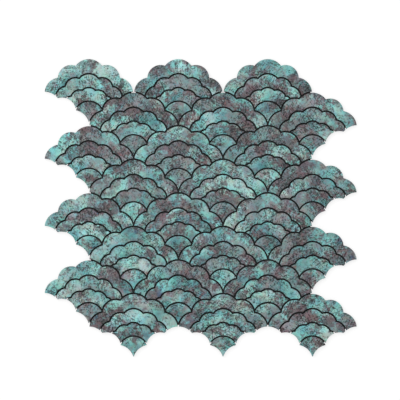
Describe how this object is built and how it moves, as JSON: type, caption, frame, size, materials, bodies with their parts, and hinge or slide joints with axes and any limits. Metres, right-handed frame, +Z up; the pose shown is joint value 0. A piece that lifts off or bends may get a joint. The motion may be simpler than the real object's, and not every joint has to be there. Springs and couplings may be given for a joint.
{
  "type": "self-adhesive mosaic tile",
  "caption": "Peel-and-stick mosaic sheet of overlapping cloud-edged fans, each cut as nested arches, with a patina print and an interlocking scalloped outline.",
  "frame": {"origin": "middle of the sheet's underside, on the release paper, with the sheet lying face up", "axes": "+X along the rows of fans, +Y towards the crowns of the fans, +Z up out of the printed face"},
  "size_m": [0.3138, 0.2992, 0.0041],
  "materials": {
    "chip_board": "satin printed patina in teal, grey and brown",
    "mat": "black closed-cell foam with adhesive on both faces",
    "paper": "smooth siliconised release paper"
  },
  "bodies": {
    "root": {"row_1_outer_arches": "chip_board", "row_1_middle_arches": "chip_board", "row_1_inner_arches": "chip_board", "row_1_tip_fans": "chip_board", "row_2_outer_arches": "chip_board", "row_2_middle_arches": "chip_board", "row_2_inner_arches": "chip_board", "row_2_tip_fans": "chip_board", "row_3_outer_arches": "chip_board", "row_3_middle_arches": "chip_board", "row_3_inner_arches": "chip_board", "row_3_tip_fans": "chip_board", "row_4_outer_arches": "chip_board", "row_4_middle_arches": "chip_board", "row_4_inner_arches": "chip_board", "row_4_tip_fans": "chip_board", "row_5_outer_arches": "chip_board", "row_5_middle_arches": "chip_board", "row_5_inner_arches": "chip_board", "row_5_tip_fans": "chip_board", "row_6_outer_arches": "chip_board", "row_6_middle_arches": "chip_board", "row_6_inner_arches": "chip_board", "row_6_tip_fans": "chip_board", "row_7_outer_arches": "chip_board", "row_7_middle_arches": "chip_board", "row_7_inner_arches": "chip_board", "row_7_tip_fans": "chip_board", "row_8_outer_arches": "chip_board", "row_8_middle_arches": "chip_board", "row_8_inner_arches": "chip_board", "row_8_tip_fans": "chip_board", "adhesive_mat": "mat", "release_paper": "paper"}
  },
  "joints": []
}
